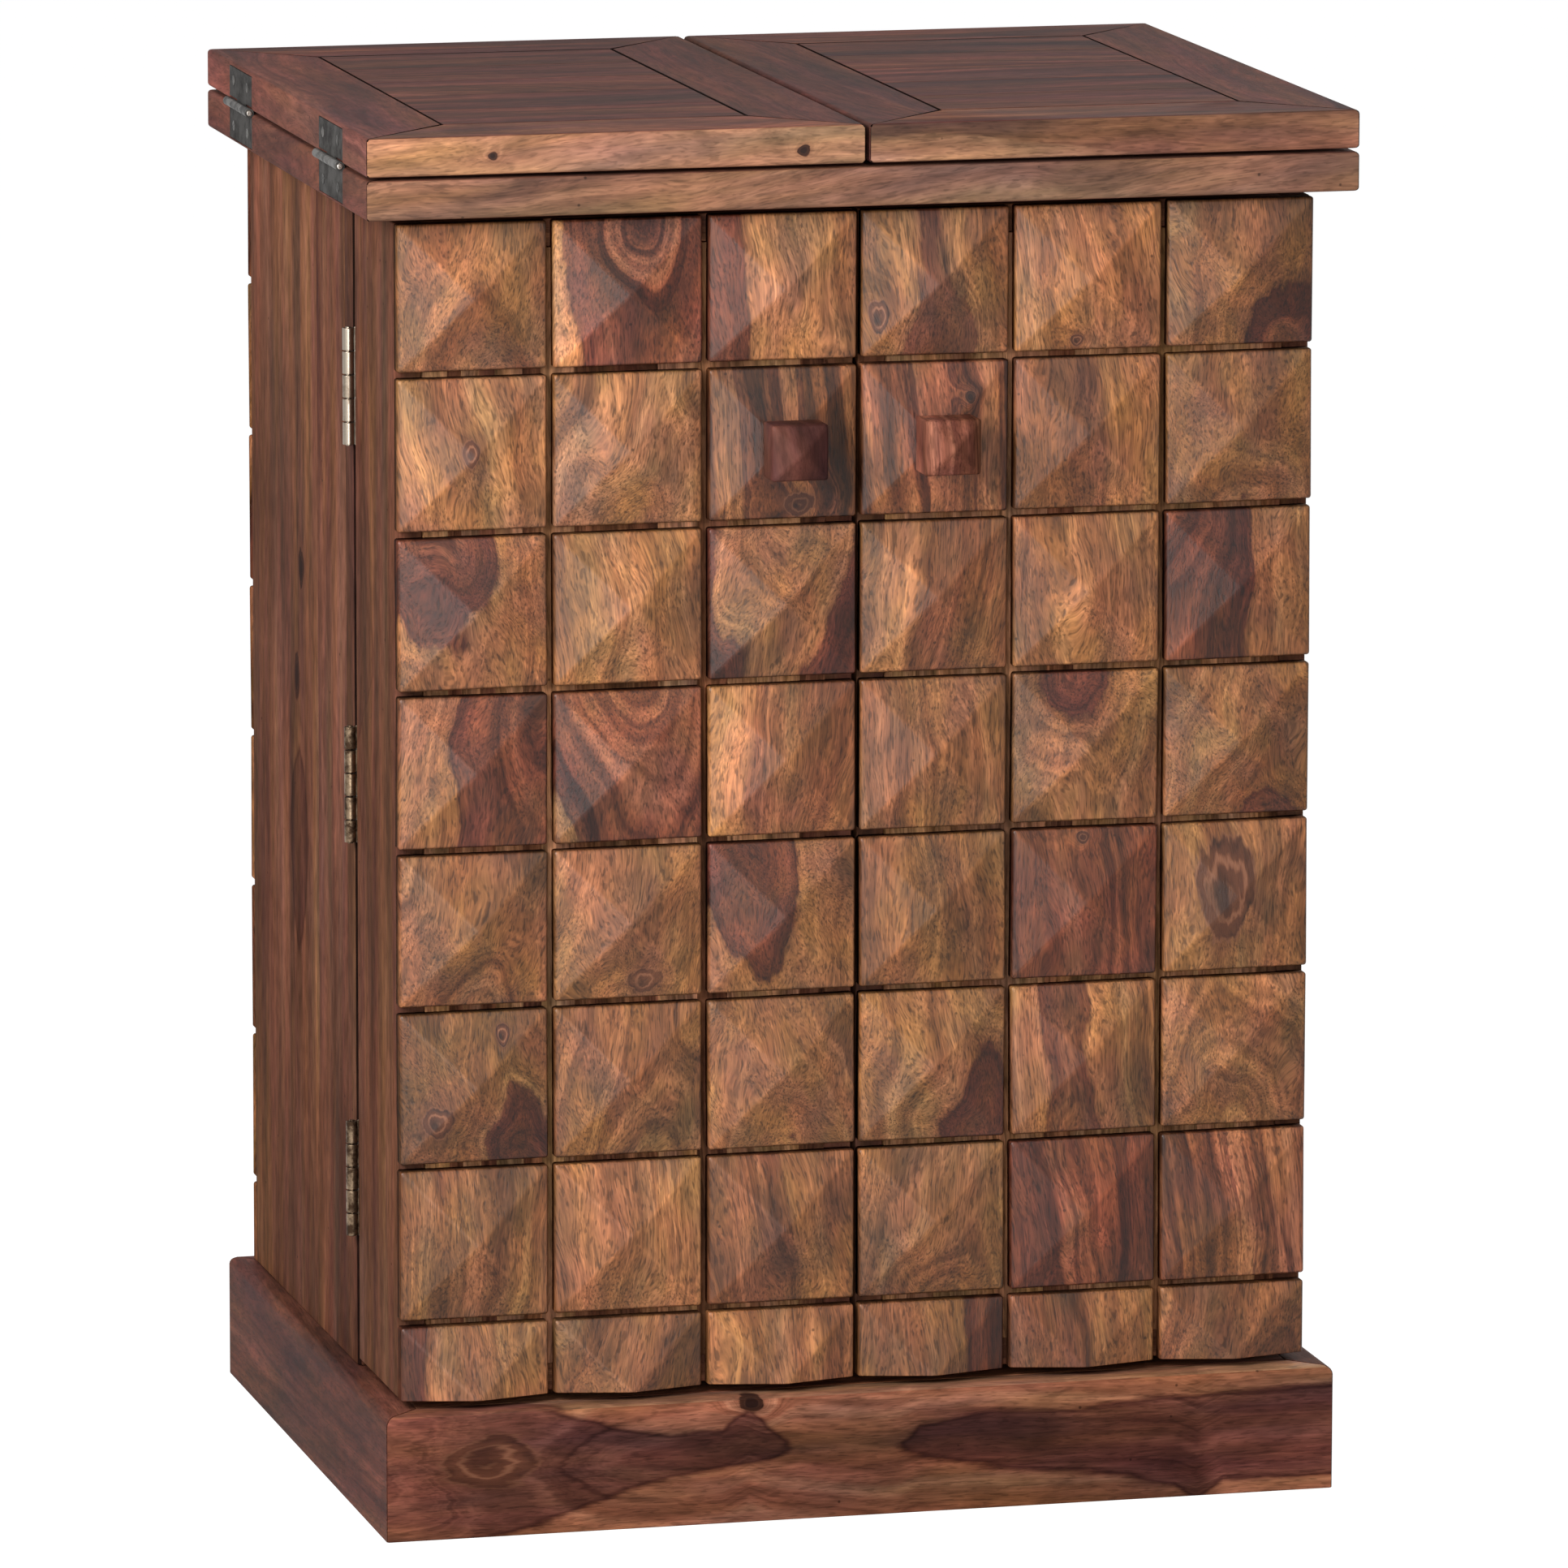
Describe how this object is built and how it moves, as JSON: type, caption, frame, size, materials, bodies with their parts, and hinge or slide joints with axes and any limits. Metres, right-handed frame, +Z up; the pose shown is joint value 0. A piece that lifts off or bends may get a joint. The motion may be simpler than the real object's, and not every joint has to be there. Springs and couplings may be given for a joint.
{
  "type": "bar cabinet",
  "caption": "Wooden bar cabinet on a plinth, faced with pyramid blocks, with deep bottle doors and top leaves that fold outwards into a wider counter.",
  "frame": {"origin": "middle of the overall footprint, on the floor; the knobs count in the depth", "axes": "+Z up, front faces -Y, +X to the right seen from the front"},
  "size_m": [0.663, 0.5324, 0.91],
  "materials": {
    "plinth_wood": "satin lacquered rosewood",
    "side_wood": "satin lacquered rosewood, vertical grain",
    "top_wood": "satin lacquered rosewood",
    "block_wood": "satin lacquered rosewood, light sapwood and dark heartwood",
    "inner_wood": "satin lacquered rosewood",
    "knob_wood": "satin lacquered dark rosewood",
    "worn_steel": "worn plated steel",
    "black_iron": "blackened iron",
    "catch_plastic": "moulded, matte"
  },
  "bodies": {
    "case": {"plinth_front": "plinth_wood", "plinth_back": "plinth_wood", "plinth_left": "plinth_wood", "plinth_right": "plinth_wood", "base_panel": "inner_wood", "side_panel_left": "side_wood", "side_panel_right": "side_wood", "back_panel": "block_wood", "middle_shelf": "inner_wood", "stemware_rack": "inner_wood", "door_catch": "catch_plastic", "fixed_top": "top_wood", "left_door_hinge_1_case_plate": "worn_steel", "left_door_hinge_2_case_plate": "worn_steel", "left_door_hinge_3_case_plate": "worn_steel", "right_door_hinge_1_case_plate": "worn_steel", "right_door_hinge_2_case_plate": "worn_steel", "right_door_hinge_3_case_plate": "worn_steel", "left_top_hinge_front_board_plate": "black_iron", "left_top_hinge_back_board_plate": "black_iron", "right_top_hinge_front_board_plate": "black_iron", "right_top_hinge_back_board_plate": "black_iron"},
    "left_leaf": {"left_leaf_front_rail": "top_wood", "left_leaf_back_rail": "top_wood", "left_leaf_hinge_stile": "top_wood", "left_leaf_meeting_stile": "top_wood", "left_leaf_infill": "top_wood", "left_top_hinge_front_leaf_plate": "black_iron", "left_top_hinge_back_leaf_plate": "black_iron"},
    "right_leaf": {"right_leaf_front_rail": "top_wood", "right_leaf_back_rail": "top_wood", "right_leaf_hinge_stile": "top_wood", "right_leaf_meeting_stile": "top_wood", "right_leaf_infill": "top_wood", "right_top_hinge_front_leaf_plate": "black_iron", "right_top_hinge_back_leaf_plate": "black_iron"},
    "left_door": {"left_door_front": "block_wood", "left_door_hinge_stile": "side_wood", "left_door_meeting_stile": "side_wood", "left_door_top_rail": "side_wood", "left_door_bottom": "side_wood", "left_door_shelf": "inner_wood", "left_door_lower_bottle_rail": "inner_wood", "left_door_upper_bottle_rail": "inner_wood", "left_door_knob": "knob_wood", "left_door_hinge_1_door_plate": "worn_steel", "left_door_hinge_2_door_plate": "worn_steel", "left_door_hinge_3_door_plate": "worn_steel"},
    "right_door": {"right_door_front": "block_wood", "right_door_hinge_stile": "side_wood", "right_door_meeting_stile": "side_wood", "right_door_top_rail": "side_wood", "right_door_bottom": "side_wood", "right_door_shelf": "inner_wood", "right_door_lower_bottle_rail": "inner_wood", "right_door_upper_bottle_rail": "inner_wood", "right_door_knob": "knob_wood", "right_door_hinge_1_door_plate": "worn_steel", "right_door_hinge_2_door_plate": "worn_steel", "right_door_hinge_3_door_plate": "worn_steel"}
  },
  "joints": [
    {"name": "left_leaf_fold", "type": "hinge", "parent": "case", "child": "left_leaf", "pos_m": [-0.3285, 0.01623, 0.8839], "axis": [0, -1, 0], "range_deg": [0, 180]},
    {"name": "right_leaf_fold", "type": "hinge", "parent": "case", "child": "right_leaf", "pos_m": [0.3285, 0.01623, 0.8839], "axis": [0, 1, 0], "range_deg": [0, 180]},
    {"name": "left_door_swing", "type": "hinge", "parent": "case", "child": "left_door", "pos_m": [-0.3071, -0.08417, 0.4699], "axis": [0, 0, -1], "range_deg": [0, 180]},
    {"name": "right_door_swing", "type": "hinge", "parent": "case", "child": "right_door", "pos_m": [0.3071, -0.08417, 0.4699], "axis": [0, 0, 1], "range_deg": [0, 180]}
  ]
}
